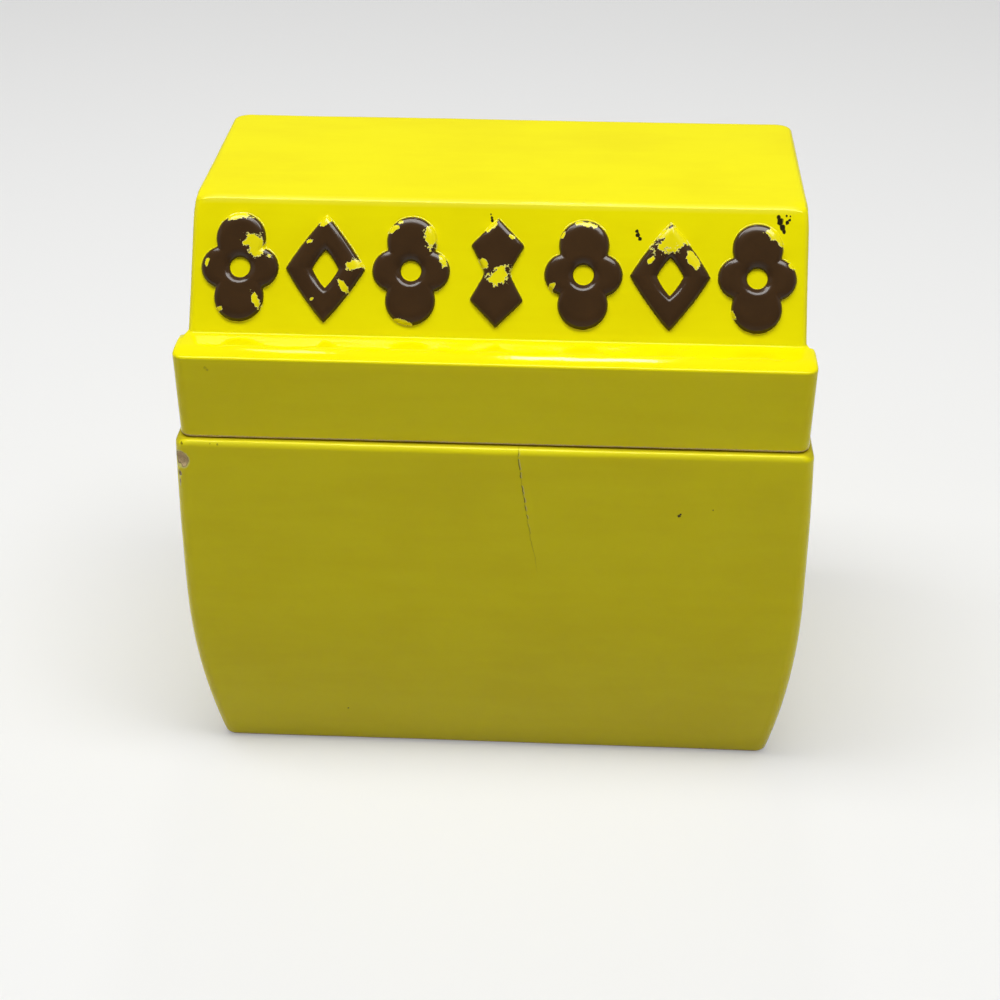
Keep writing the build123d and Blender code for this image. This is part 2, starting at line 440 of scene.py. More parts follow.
def hairline(finish):
    """Dark in the crack, and pale on its chipped right edge.

    Its place across is a line plus a square of the distance from the height where it turns, so
    it bends to the right both below that height and above it.
    """
    height = finish.axes["Z"]
    fall = abs(CRACK_TURN - height)
    wander = finish.node(
        "ShaderNodeTexNoise",
        {"noise_dimensions": "1D"},
        {"W": height, "Scale": 230.0, "Detail": 4.0, "Roughness": 0.62},
    )
    line = CRACK_X + fall * (0.12 + fall * 1.1) + (wander - 0.5) * (0.8 * MM)
    right_of = finish.axes["X"] - line
    upper = finish.step(height, 72 * MM, 84 * MM)
    dashes = finish.step(finish.noise(1.0, 3.0, 0.6, finish.stretched(0, 0, 420)), 0.42, 0.54)
    on_wall = finish.step(height, 98.4 * MM, 96.8 * MM)
    front = finish.step(finish.axes["Y"], -47.5 * MM, -49.0 * MM)
    span = finish.step(height, CRACK_FOOT, CRACK_FOOT + 12 * MM) * front
    inside = finish.step(abs(right_of), 0.19 * MM, 0.07 * MM)
    dark = inside * span * (0.22 + on_wall * dashes * (0.12 + upper * 0.5))
    edge = finish.step(right_of, 0.08 * MM, 0.20 * MM)
    edge = edge * finish.step(right_of, 0.50 * MM, 0.30 * MM)
    return dark, edge * span * upper * on_wall * dashes * 0.6


print("the crack runs down from the rim to", round(CRACK_FOOT / MM, 1), "mm above the foot")

# %% [markdown]
# Where lid and rim meet, the clay was wiped bare before the firing, so that the two wouldn't melt
# together. Just outside, at the foot of the lid's wall, the rim gets painted shade, a darker yellow
# that stands in for the shadow the lid throws on it. Both could be painted by hand, but as masks of
# the place, worked out from the lid's box, they follow the lid if it is made wider.

# %% Bare clay, and painted shade on the rim
LID_HALF_WIDTH, LID_HALF_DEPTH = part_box("lid")[1][:2]
SEAT_WIDTH = LID_HALF_WIDTH - 2.2 * MM
SEAT_DEPTH = LID_HALF_DEPTH - 1.2 * MM
RIM_BEGINS = 97.2 * MM


def seat_on_rim(finish):
    """1 on the part of the base's rim that the lid stands on."""
    under_width = finish.step(abs(finish.axes["X"]), SEAT_WIDTH, SEAT_WIDTH - 0.3 * MM)
    under_depth = finish.step(abs(finish.axes["Y"]), SEAT_DEPTH, SEAT_DEPTH - 0.3 * MM)
    on_rim = finish.step(finish.axes["Z"], RIM_BEGINS, RIM_BEGINS + 0.5 * MM)
    return under_width * under_depth * on_rim


def painted_shade_by_lid(finish):
    """1 on the rim at the foot of the lid's wall, where the lid's shade is painted, and 0 a little
    outside it.
    """
    beside = abs(finish.axes["X"]) - LID_HALF_WIDTH
    before = abs(finish.axes["Y"]) - LID_HALF_DEPTH
    close = finish.step(finish.most(beside, before), 1.3 * MM, 0.2 * MM)
    return close * finish.step(finish.axes["Z"], RIM_BEGINS, RIM_BEGINS + 0.8 * MM)


print("the lid's seat is", round(2 * SEAT_WIDTH / MM, 1), "by", round(2 * SEAT_DEPTH / MM, 1), "mm")

# %% [markdown]
# The glaze is a thick lemon yellow, nearly a mirror. Three things keep it from looking like
# plastic. It is thinner and paler over every convex edge, where it ran off as it melted. It holds
# a faint cloudiness from uneven brushing. And its surface has a fine orange peel that makes
# reflections tremble. A coat over a matt colour would be the usual way, but one shader with a
# shine that is tinted a little yellow is nearer to a glaze that is coloured all through. The foot
# that stood on the kiln shelf was wiped clean, so bare clay shows, as it does in a chip, whose
# glass is pale at its rim and dark where it broke off.

# %% The yellow glaze
LEMON = (0.89, 0.81, 0.0005, 1.0)
DEEP_LEMON = (0.82, 0.71, 0.0, 1.0)
PALE_LEMON = (0.95, 0.92, 0.16, 1.0)
# a darker yellow, painted shade on the rim at the foot of the lid
PAINTED_SHADE_LEMON = (0.46, 0.38, 0.01, 1.0)
CRACK_EDGE = (0.80, 0.72, 0.33, 1.0)
CHIP_RIM = (0.80, 0.76, 0.38, 1.0)
BROKEN_GLASS = (0.22, 0.15, 0.07, 1.0)
CLAY = (0.88, 0.70, 0.40, 1.0)
DARK_CLAY = (0.64, 0.48, 0.26, 1.0)
SOOT = (0.02, 0.014, 0.006, 1.0)
GLAZE_SHINE = (1.0, 1.0, 0.38, 1.0)
GLAZE_IOR = 1.40
PEEL_DEPTH = 0.02 * MM
GRAIN_DEPTH = 0.12 * MM
WIPED_FOOT = 0.8 * MM
WIPED_SEAT = 99.3 * MM


def yellow_glaze(name, wiped_below, dark_spots, worn_base=False):
    """The glaze of a casting. Below a height the clay was wiped, so that it didn't stick."""
    finish = Finish(bpy.data.materials.new(name))
    cloud = finish.noise(24, 3.0, 0.55)
    brushed = finish.noise(1.0, 3.0, 0.6, finish.stretched(26, 110, 150))
    depth = finish.step(cloud * 0.6 + brushed * 0.4, 0.40, 0.66)
    colour = finish.mix(depth * 0.5, LEMON, DEEP_LEMON)
    colour = finish.mix(finish.mark("crest") * 0.4, colour, PALE_LEMON)
    dark = finish.spots(dark_spots)
    if worn_base:
        crack, broken_edge = hairline(finish)
        colour = finish.mix(broken_edge, colour, CRACK_EDGE)
        dark = finish.most(dark, crack)
        # painted shade: the rim is darkened at the foot of the lid, where the lid shades it
        colour = finish.mix(painted_shade_by_lid(finish) * 0.75, colour, PAINTED_SHADE_LEMON)
    colour = finish.mix(dark, colour, SOOT)

    # bare is 1 on clay: under the foot or the seat, and in a chip
    ragged = finish.noise(1500, 3.0, 0.6)
    ragged_height = finish.axes["Z"] + (ragged - 0.5) * (0.5 * MM)
    bare = finish.step(ragged_height, wiped_below + 0.2 * MM, wiped_below - 0.1 * MM)
    if worn_base:
        bare = finish.most(bare, seat_on_rim(finish))
    outline = 0.25 + 1.5 * finish.noise(420, 2.0, 0.6)
    broken = finish.mark("chip") * outline + (ragged - 0.5) * 0.16
    colour = finish.mix(finish.step(broken, 0.18, 0.26) * 0.6, colour, CHIP_RIM)
    bare = finish.most(bare, finish.step(broken, 0.33, 0.37))
    grain = finish.noise(2600, 4.0, 0.7)
    clay = finish.mix(finish.step(grain, 0.35, 0.62), CLAY, DARK_CLAY)
    colour = finish.mix(bare, colour, clay)
    broken_glass = finish.step(broken, 0.33, 0.36) * finish.step(broken, 0.44, 0.38)
    colour = finish.mix(broken_glass * 0.7, colour, BROKEN_GLASS)

    roughness = 0.03 + 0.04 * finish.noise(55, 4.0, 0.6) + bare * 0.7
    peel = finish.noise(420, 2.0, 0.5)
    ripple = finish.noise(1.0, 1.0, 0.5, finish.stretched(14, 420, 420))
    smooth = finish.bump(peel * 0.6 + ripple * 0.4, PEEL_DEPTH)
    normal = finish.bump(grain * bare, GRAIN_DEPTH, smooth)
    sockets = {"Base Color": colour, "Roughness": roughness, "Normal": normal, "IOR": GLAZE_IOR}
    shader = finish.node("ShaderNodeBsdfPrincipled", {}, {**sockets, "Specular Tint": GLAZE_SHINE})
    return finish.done(shader)


glaze_of_base = yellow_glaze("yellow_glaze_base", WIPED_FOOT, BASE_SPECKS, worn_base=True)
glaze_of_lid = yellow_glaze("yellow_glaze_lid", WIPED_SEAT, STRAY_ENAMEL)
print("glazes:", glaze_of_base.name, "and", glaze_of_lid.name)

# %% [markdown]
# The base is one closed skin. Its profile starts under the middle, runs out to the foot ring, up
# the outer wall, over the rim, down the inner wall and back to the middle of the floor. A solid
# block hollowed with a Boolean would do as well, but leaves faces of all shapes. The walls are
# built straight and then drawn in by the same two arcs as the engineering model has, one below
# the widest height and a flatter one above it.

# %% The base's shape
base_high = np.array(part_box("base")[1])
WALL = 4.5 * MM
FLOOR = 6.0 * MM
RIM_IN = 0.8 * MM
FOOT_IN = 6.1 * MM
WIDEST = 54.0 * MM
FOOT_RING = 7.0 * MM
RECESS = 1.2 * MM
NEAR_CHIP = 88.0 * MM


def drawn_in(height):
    """How far a wall stands inside its widest place: the sagitta of an arc upright at WIDEST."""
    below = np.minimum(height, WIDEST) - WIDEST
    above = np.maximum(height, WIDEST) - WIDEST
    top = base_high[2] - WIDEST
    foot_radius = (WIDEST**2 + FOOT_IN**2) / (2 * FOOT_IN)
    rim_radius = (top**2 + RIM_IN**2) / (2 * RIM_IN)
    lower = foot_radius - np.sqrt(foot_radius**2 - below**2)
    upper = rim_radius - np.sqrt(rim_radius**2 - above**2)
    return lower + upper


def ring(columns, half_width, half_depth, corner, height):
    """One sharp corner of the profile, as a rounded rectangle at a height."""
    across, back, x, y = columns.T
    return np.stack(
        [
            across * (half_width - corner) + x * corner,
            back * (half_depth - corner) + y * corner,
            np.full(len(columns), height),
        ],
        axis=1,
    )


def base_shell():
    """The base's closed skin, from the middle of the underside to the middle of the floor.

    Its columns and rows are closer together near the chip at the front's left end. The two ends
    of the profile are a line along the middle: a ring with no depth.
    """
    front = np.concatenate([np.linspace(-1, -0.91, 18), np.linspace(-0.90, 1, 74)])
    columns = rectangle_columns(front, np.linspace(-1, 1, 50), 13)
    width, depth, height = base_high
    foot = FOOT_IN + FOOT_RING
    profile = []
    for inset, corner, high, cut, steps in (
        # inset, corner radius, height, arc's cut, steps from the ring before
        (depth, 0.0, RECESS, 0.0, 0),
        (foot, 3.2 * MM, RECESS, 0.5 * MM, 10),
        (foot, 3.2 * MM, 0.0, 0.5 * MM, 1),
        (0.0, 3.4 * MM, 0.0, 1.4 * MM, 3),
        (0.0, 3.4 * MM, NEAR_CHIP, 0.2 * MM, 40),
        (0.0, 3.4 * MM, height, 1.7 * MM, 24),
        (WALL, 6.0 * MM, height, 0.9 * MM, 2),
        (WALL, 6.0 * MM, FLOOR, 3.5 * MM, 34),
        (depth, 0.0, FLOOR, 0.0, 12),
    ):
        profile.append((ring(columns, width - inset, depth - inset, corner, high), cut, steps))
    grid = arcs_for_corners(profile)
    inset = drawn_in(grid[..., 2])
    grid[..., 0] *= 1 - inset / width
    grid[..., 1] *= 1 - inset / depth
    return grid


base_grid = base_shell()
print("the base's grid has", base_grid.shape[0], "rows and", base_grid.shape[1], "columns")

# %% [markdown]
# Two numbers at each point tell the glaze where it thinned and where it broke. The crests are
# found from the distances to the box's faces, not by an edge-wear trick that reads the angle
# between faces, because that depends on how fine the mesh is. The chip at the front's left end is
# also a real hollow, with two small pits below it.

# %% The base
CHIPS = (
    # place in mm, radius in mm
    (-80.3, -50.8, 93.0, 2.2),
    (-81.2, -50.5, 88.6, 0.8),
    (-81.4, -50.4, 86.2, 0.7),
)
CHIP_DEPTH = 0.8 * MM
BASE_CREST = 1.6 * MM


def crest_of_box(points, half_width, half_depth, foot, top, reach):
    """1 on the convex outer edges of a box and 0 a reach away from them: two sides are near."""
    beside = half_width - drawn_in(points[:, 2]) - np.abs(points[:, 0])
    before = half_depth - drawn_in(points[:, 2]) - np.abs(points[:, 1])
    ends = np.minimum(np.abs(points[:, 2] - top), np.abs(points[:, 2] - foot))
    near = np.sort(np.stack([beside, before, ends]), axis=0)
    return np.clip(1 - (near[0] + near[1]) / reach, 0, 1) ** 1.5


def wear(points, spots):
    """1 in the middle of each spot, a third at its radius and 0 at one and a half times that."""
    worn = np.zeros(len(points))
    for x, y, z, radius in spots:
        away = np.linalg.norm(points / MM - np.array([x, y, z]), axis=1)
        worn = np.maximum(worn, 1 - away / (1.5 * radius))
    return worn


base_mesh = grid_mesh("base_shell", base_grid)
places = points_of(base_mesh)
chip = wear(places, CHIPS)
note(base_mesh, "chip", chip)
note(base_mesh, "crest", crest_of_box(places, *base_high[:2], 0.0, base_high[2], BASE_CREST))
sunk = waves(places) + CHIP_DEPTH * np.clip((chip - 0.30) / 0.3, 0, 1)
move_points(base_mesh, places - points_of(base_mesh, "normal") * sunk[:, None])
place_piece("base_shell", base_mesh, "base", "base", glaze_of_base)

# %% [markdown]
# The lid is also one skin. What makes it harder is the shelf where the crown stands: over the lip
# it is high, and over the low rim at the sides and back it is low. The lip could be a second piece
# that is pushed into the first, but the glaze runs over both without a seam. So the height of the
# shelf is a function of the column. It falls steeply, over a few closely set columns, just behind
# the panel's foot, and everything else follows from it.

# %% The lid's measures and columns
lid_low, lid_high = (np.array(corner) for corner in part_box("lid"))
LID_WALL = 4.5 * MM
SEAT = 98.7 * MM
SHELF = SEAT + 9.0 * MM
LEDGE = SEAT + 23.5 * MM
CROWN_TOP = lid_high[2]
CROWN_SIDE = lid_high[0] - 2.15 * MM
CROWN_BACK = lid_high[1] - 2.15 * MM
PANEL_FOOT = lid_low[1] + 12.6 * MM
PANEL_TOP = PANEL_FOOT + 20.5 * MM
LIP_BACK = PANEL_FOOT + 0.9 * MM
SLOPE = atan2(CROWN_TOP - LEDGE, PANEL_TOP - PANEL_FOOT)
LID_CORNER = 3.2 * MM
CROWN_EDGE = 1.9 * MM
CROWN_CORNER = 4.0 * MM
END_OF_SIDE = lid_high[1] - LID_CORNER


def lid_columns():
    """The lid's columns. Along the sides they are close together where the shelf drops."""
    side = np.concatenate(
        [
            np.linspace(-END_OF_SIDE, LIP_BACK - 1.2 * MM, 9),
            np.linspace(LIP_BACK - 1.0 * MM, LIP_BACK + 1.2 * MM, 20),
            np.linspace(LIP_BACK + 2.0 * MM, END_OF_SIDE, 38),
        ]
    )
    return rectangle_columns(np.linspace(-1, 1, 82), side / END_OF_SIDE, 10)


def oblong(columns, half_width, front, back, front_corner, back_corner, height):
    """A ring whose front and back have their own places and corner radii.

    Points on its sides keep the column's own place along the side, as far as the ring reaches.
    """
    across, along, x, y = columns.T
    corner = np.where(along < 0, front_corner, back_corner)
    first, last = front + front_corner, back - back_corner
    kept_from, kept_to = max(first, -END_OF_SIDE) + 0.2 * MM, min(last, END_OF_SIDE) - 0.8 * MM
    level = np.interp(
        along * END_OF_SIDE,
        [-END_OF_SIDE, kept_from, kept_to, END_OF_SIDE],
        [first, kept_from, kept_to, last],
    )
    return np.stack(
        [across * (half_width - corner) + x * corner, level + y * corner, height + 0 * x], axis=1
    )


def shelf_height(y):
    """The shelf's height: the ledge in front, the low rim behind, and a steep fall between."""
    t = np.clip((y - (LIP_BACK - 0.8 * MM)) / (1.8 * MM), 0, 1)
    return LEDGE + (SHELF - LEDGE) * t * t * (3 - 2 * t)


print("the lid's panel rises at", round(degrees(SLOPE), 1), "degrees")

# %% [markdown]
# Inside, the lid is hollow up to its ceiling and has a flange that drops into the mouth of the
# base and keeps the lid in place. Nobody sees most of it, but a lid that is lifted off shows it,
# so it is part of the same skin. Solidify could make the inside from the outside, but it would
# give it the outer corners, and no flange.

# %% The lid's inside
ROUND_INSIDE = 3 * MM
FLANGE_THICK = 3.5 * MM
FLANGE_CORNER = 5 * MM
HALF_CEILING = 27 * MM


def lid_inside(columns):
    """The profile's rings from the middle of the ceiling down to the root of the flange."""
    width, depth = lid_high[0], lid_high[1]
    inside, behind = CROWN_SIDE - LID_WALL, CROWN_BACK - LID_WALL
    panel_in = LID_WALL / np.sin(SLOPE)
    lean = (PANEL_TOP - PANEL_FOOT) / (CROWN_TOP - LEDGE)

    def hollow(front, height):
        return oblong(columns, inside, front, behind, ROUND_INSIDE, ROUND_INSIDE, height)

    ceiling = hollow(PANEL_TOP + panel_in - lean * LID_WALL, CROWN_TOP - LID_WALL)
    ceiling_middle = ceiling.copy()
    ceiling_middle[:, 0] = np.clip(ceiling[:, 0], -inside + HALF_CEILING, inside - HALF_CEILING)
    ceiling_middle[:, 1] = (PANEL_TOP + behind) / 2
    under_ledge = hollow(PANEL_FOOT + panel_in - lean * LID_WALL, LEDGE - LID_WALL)
    lip_inside = hollow(LID_WALL - depth, LEDGE - LID_WALL - 0.5 * MM)
    flange_top = SEAT + 7.0 * MM
    lip_foot = lip_inside.copy()
    lip_foot[:, 2] = flange_top
    flange_width, flange_depth = width - 4.8 * MM, depth - 3.6 * MM
    inner_width, inner_depth = flange_width - FLANGE_THICK, flange_depth - FLANGE_THICK
    flange_head = ring(columns, inner_width, inner_depth, 1.5 * MM, flange_top)
    flange_inner = ring(columns, inner_width, inner_depth, 1.5 * MM, lid_low[2])
    flange_outer = ring(columns, flange_width, flange_depth, FLANGE_CORNER, lid_low[2])
    flange_root = ring(columns, flange_width, flange_depth, FLANGE_CORNER, SEAT)
    return [
        # ring, arc's cut, steps from the ring before
        (ceiling_middle, 0.0, 0),
        (ceiling, 2.0 * MM, 12),
        (under_ledge, 1.5 * MM, 16),
        (lip_inside, 0.2 * MM, 5),
        (lip_foot, 0.3 * MM, 8),
        (flange_head, 0.2 * MM, 1),
        (flange_inner, 0.8 * MM, 6),
        (flange_outer, 0.8 * MM, 2),
        (flange_root, 0.4 * MM, 3),
    ]


print("the flange hangs", round((SEAT - lid_low[2]) / MM, 1), "mm below the seat")

# %% [markdown]
# Outside, the profile goes from the seat up the lip to the ledge, in to the foot of the crown, up
# the panel and over the top. At the sides and back the same rings lie low and close together, and
# make the low rim. The crown's front is set back above, so its sides are pulled along with it.

# %% The lid's outside
HALF_CROWN = 29 * MM


def lid_outside(columns):
    """The profile's rings from the seat, over the shelf and the crown, to the crown's middle."""
    width, depth = lid_high[0], lid_high[1]
    seat = oblong(columns, width, -depth, depth, LID_CORNER, LID_CORNER, SEAT)
    in_front = np.clip((-END_OF_SIDE - seat[:, 1]) / LID_CORNER, 0, 1)
    shelf = shelf_height(seat[:, 1])
    lip = np.clip((shelf - SHELF) / (LEDGE - SHELF), 0, 1)
    lip_edge = seat.copy()
    lip_edge[:, 2] = shelf
    seat[:, 0] *= 1 - 0.5 * MM / width * lip
    shelf_edge = lip_edge - np.pad(columns[:, 2:4], ((0, 0), (0, 1))) * 1.5 * MM
    crown_foot = oblong(columns, CROWN_SIDE, PANEL_FOOT, CROWN_BACK, CROWN_EDGE, CROWN_CORNER, 0.0)
    crown_foot[:, 2] = shelf
    crown_edge = oblong(
        columns, CROWN_SIDE, PANEL_TOP, CROWN_BACK, CROWN_EDGE, CROWN_CORNER, CROWN_TOP
    )
    on_side = (columns[:, 3] == 0) | (np.abs(columns[:, 1]) < 1)
    end = CROWN_BACK - CROWN_CORNER
    leaning = np.interp(
        crown_foot[:, 1], [PANEL_FOOT + CROWN_EDGE, end], [PANEL_TOP + CROWN_EDGE, end]
    )
    crown_edge[:, 1] = np.where(on_side, leaning, crown_edge[:, 1])
    crown_middle = crown_edge.copy()
    middle_side = CROWN_SIDE - HALF_CROWN
    crown_middle[:, 0] = np.clip(crown_edge[:, 0], -middle_side, middle_side)
    crown_middle[:, 1] = (PANEL_TOP + CROWN_BACK) / 2
    return [
        # ring, arc's cut, steps from the ring before
        (seat, 0.7 * MM, 3),
        (lip_edge, 0.8 * MM, 24),
        (shelf_edge, 0.02 * MM, 1),
        (crown_foot, 0.5 * MM, 24),
        (crown_edge, CROWN_EDGE - in_front[:, None] * 1.2 * MM, 30),
        (crown_middle, 0.0, 22),
    ]


columns = lid_columns()
lid_grid = arcs_for_corners(lid_inside(columns) + lid_outside(columns))
print("the lid's grid has", lid_grid.shape[0], "rows and", lid_grid.shape[1], "columns")

# %% [markdown]
# Wet clay sags when it comes out of the mould. On this lid it made the ledge roll over to the front
# and the lip lean back, and a glossy glaze draws every such bend as a line of light. Pulling points
# by hand would do it once. Here each move is a formula that fades with the distance from where the
# clay gave way, so it can be tuned by one number.

# %% How the clay slumped
# in mm: how far each place moved, and how far from it the move can be felt
FRONT_ROLL, FRONT_REACH = 1.1, 6.0
END_ROLL, END_REACH = 0.4, 2.6
CORNER_SINK, CORNER_IN, CORNER_REACH = 1.0, 0.35, 6.0
LIP_LEAN, LEAN_REACH = 0.7, 9.0
ROLL_DEPTH, BACK_REACH = 3.5, 3.0


def slump(grid):
    """Rounds the lid where the wet clay sagged, by moves that fade away from where it gave way.

    Nearness is the square of what is left of the reach, from 1 at the place to 0 at the reach. The
    ledge rolls over towards the front edge of the lip and a little towards its ends, the lip leans
    back evenly from its foot to its top, its ends are drawn in at the back, and the crown's two
    front corners are drawn in and down.
    """
    side, x, y, z = np.sign(grid[..., 0]), np.abs(grid[..., 0]), grid[..., 1], grid[..., 2]

    def nearness(distance, reach):
        return np.clip(1 - distance / (reach * MM), 0, 1) ** 2

    from_front = y - lid_low[1]
    near_top = np.clip(1 - (LEDGE - z) / (ROLL_DEPTH * MM), 0, 1) * (y < LIP_BACK)
    roll = FRONT_ROLL * nearness(from_front, FRONT_REACH) ** 0.75
    roll += END_ROLL * nearness(lid_high[0] - x, END_REACH)
    behind = nearness(LIP_BACK - y, BACK_REACH)
    behind *= np.clip((z - SHELF) / (LEDGE - SHELF), 0, 1) ** 2
    outside_crown = np.maximum(x - CROWN_SIDE, 0)
    corner = np.array([CROWN_SIDE, PANEL_TOP, CROWN_TOP])
    away = np.linalg.norm(np.stack([x, y, z], axis=-1) - corner, axis=-1)
    at_corner = nearness(away, CORNER_REACH)
    leaning = np.clip((z - SEAT) / (LEDGE - SEAT), 0, 1)
    in_front = np.clip(1 - from_front / (LEAN_REACH * MM), 0, 1)
    moved = grid.copy()
    moved[..., 1] += LIP_LEAN * MM * leaning * in_front
    moved[..., 0] -= side * (0.2 * behind * outside_crown + CORNER_IN * MM * at_corner)
    moved[..., 2] -= MM * (near_top * roll + CORNER_SINK * at_corner)
    return moved


lid_slumped = slump(lid_grid)
furthest = np.linalg.norm(lid_slumped - lid_grid, axis=-1).max()
print("the clay moved by up to", round(furthest / MM, 2), "mm")

# %% [markdown]
# The lid gets the same two numbers at its points as the base. Its crests are those of two boxes,
# the lip and the crown, and the crown's front is the sloping panel. A small nick at the crown's
# right front corner is the only place where its glaze broke.

# %% The lid
NICKS = ((78.7, -13.0, 150.6, 0.8),)
NICK_DEPTH = 0.4 * MM
LID_CREST = 1.4 * MM


def crest_of_lid(points):
    """1 on the lid's convex outer edges and 0 away from them, from the distances to its faces."""
    x, y, z = np.abs(points[:, 0]), points[:, 1], points[:, 2]
    on_lip = (y < LIP_BACK + 1 * MM) & (z < LEDGE + 0.5 * MM)
    side = np.where(on_lip, lid_high[0], CROWN_SIDE) - x
    panel = np.abs((LEDGE - z) * np.cos(SLOPE) - (PANEL_FOOT - y) * np.sin(SLOPE))
    front = np.where(on_lip, y - lid_low[1], panel)
    top = np.where(on_lip, LEDGE, CROWN_TOP) - z
    near = np.sort(np.abs(np.stack([side, front, top])), axis=0)
    outside = z > SEAT + 1 * MM
    return outside * np.clip(1 - (near[0] + near[1]) / LID_CREST, 0, 1) ** 1.5


lid_mesh = grid_mesh("lid_shell", lid_slumped)
places = points_of(lid_mesh)
nick = wear(places, NICKS)
note(lid_mesh, "chip", 0.55 * nick)
note(lid_mesh, "crest", crest_of_lid(places))
sunk = waves(places) + NICK_DEPTH * np.clip((nick - 0.3) / 0.5, 0, 1)
move_points(lid_mesh, places - points_of(lid_mesh, "normal") * sunk[:, None])
place_piece("lid_shell", lid_mesh, "lid", "lid", glaze_of_lid)

# %% [markdown]
# The ornaments are thick and puffy, as clay squeezed out of a mould is. Each is swept between two
# curves: the outline, and the edge of the window in the middle. They could be drawn as Bezier
# curves, but a formula is exact and even. Both are given as a distance from the middle for every
# direction. A quatrefoil is the furthest reach of four circles, with a soft maximum so that the
# notches between them are rounded. A lozenge is an ellipse's formula with an exponent just above
# one, and a chain of two lozenges closes over a line instead of a window.

# %% Outlines of the ornaments
TURN = np.linspace(0, 2 * pi, 192, endpoint=False)
WAY = np.stack([np.cos(TURN), np.sin(TURN)], axis=1)
QUATREFOIL_CIRCLES = (
    # across, up and radius in mm
    (4.5, 0, 5.6),
    (-4.5, 0, 5.6),
    (0, 7.7, 6.5),
    (0, -7.7, 6.5),
)
SOFT_NOTCH = 0.30
SOFT_WAIST = 0.35


def quatrefoil_reach():
    """From the middle to the outline: the soft maximum of the reach of four circles, in mm."""
    total = np.zeros(len(TURN))
    for x, y, radius in QUATREFOIL_CIRCLES:
        along = x * WAY[:, 0] + y * WAY[:, 1]
        aside = x * WAY[:, 1] - y * WAY[:, 0]
        half_chord = np.sqrt(np.maximum(radius**2 - aside**2, 0))
        total += np.where(half_chord > 0, np.exp((along + half_chord) / SOFT_NOTCH), 0)
    return SOFT_NOTCH * np.log(total) - 0.08


def lozenge_reach(half_width, half_height, exponent):
    """From the middle to a lozenge's outline, in mm. An exponent of one gives sharp corners."""
    across = np.abs(WAY[:, 0] / half_width) ** exponent
    up = np.abs(WAY[:, 1] / half_height) ** exponent
    return (across + up) ** (-1 / exponent)


def quatrefoil_curves():
    """A quatrefoil's outline, and the round window in its middle."""
    return WAY * quatrefoil_reach()[:, None], WAY * 2.5


def lozenge_curves():
    """A lozenge's outline, and the smaller lozenge of its window."""
    outer = WAY * lozenge_reach(10.25, 13.95, 1.10)[:, None]
    return outer, WAY * lozenge_reach(3.2, 4.7, 1.15)[:, None]


def chain_curves():
    """Two lozenges one above the other: half the width is a soft zigzag of the height."""
    tip, half_width, waist, spine_end = 14.2, 7.0, 3.0, 4.6
    y = tip * np.sin(TURN)
    high = np.abs(y)
    rising = waist + (half_width - waist) * np.sqrt(high**2 + 0.6) / (tip / 2)
    falling = 2 * half_width * (tip - high) / tip
    width = -SOFT_WAIST * np.log(np.exp(-rising / SOFT_WAIST) + np.exp(-falling / SOFT_WAIST))
    x = np.sign(np.cos(TURN)) * np.maximum(width, 0)
    spine = np.stack([0 * y, np.clip(y, spine_end - tip, tip - spine_end)], axis=1)
    return np.stack([x, y], axis=1), spine


for kind, curves in (("quatrefoil", quatrefoil_curves()), ("lozenge", lozenge_curves())):
    across, up = 2 * curves[0].max(axis=0)
    print("a", kind, "is", round(across, 1), "by", round(up, 1), "mm")

# %% [markdown]
# The profile of an ornament starts under the panel's skin, rises in a small hollow where the glaze
# pooled, and swells to a soft crest. Extruding the outline and bevelling it would give a flat top
# with even edges, while the real ones are pillows.

# %% The relief of an ornament
CREST = 1.64
BURIED = -0.30
POOLED = -0.04


def ornament_grid(outer, inner, open_window):
    """A puffy relief between two curves, in mm: across, up the panel, and out of it.

    Each ring of the profile lies a fixed way in from a curve, or a share of the distance between
    the two curves, whichever is less. Without a window the profile starts and ends at the inner
    curve.
    """
    between = inner - outer
    width = np.linalg.norm(between, axis=1, keepdims=True)
    way_in = between / width
    skirt = outer - 0.50 * way_in
    slim = np.minimum(1, width / 6)

    def at(curve, out):
        return np.concatenate([curve, np.full((len(curve), 1), out)], axis=1)

    # ring, arc's cut, steps from the ring before
    flank = [
        (at(skirt, BURIED), 0.05, 3),
        (at(skirt, POOLED), 0.05, 1),
        (at(outer, 0.02), 0.40, 2),
        (at(outer + 0.55 * way_in * slim, 1.12), 0.55, 3),
    ]
    if open_window:
        return arcs_for_corners(
            flank
            + [
                (at(outer + np.minimum(2.4, 0.42 * width) * way_in, CREST), 1.1, 4),
                (at(inner - np.minimum(1.7, 0.30 * width) * way_in, CREST - 0.08), 0.9, 5),
                (at(inner - 0.30 * way_in, 0.75), 0.5, 3),
                (at(inner, 0.0), 0.2, 2),
                (at(inner, BURIED), 0.0, 1),
            ]
        )
    crest = [(at(outer + 0.55 * width * way_in, CREST), 1.1, 5), (at(inner, CREST + 0.03), 0.0, 5)]
    return arcs_for_corners([(at(inner, BURIED), 0.0, 0)] + flank + crest)


out_of_panel = ornament_grid(*quatrefoil_curves(), True)[..., 2]
print("a quatrefoil rises from", out_of_panel.min().round(2), "to", out_of_panel.max().round(2), "mm")

# %% [markdown]
# The enamel is nearly black brown, thick and glossy. Where it has flaked, its broken edge is ragged,
# and the yellow of the casting lies bare below it. Along that edge a thin pale line is painted as a
# highlight. Painting the flakes as an image would tie them to one size. A threshold on the wear plus
# noise gives such an edge at any size. Small cells added to the noise give it the straight breaks of a
# brittle coat.

# %% The brown enamel
BROWN = (0.038, 0.018, 0.005, 1.0)
WARM_BROWN = (0.062, 0.029, 0.008, 1.0)
# a pale yellow, a painted highlight along the flakes' edges
PAINTED_FLAKE_HIGHLIGHT = (0.90, 0.86, 0.42, 1.0)
ENAMEL_IOR = 1.42
ENAMEL_PEEL = 0.03 * MM
ENAMEL_THICK = 0.12 * MM


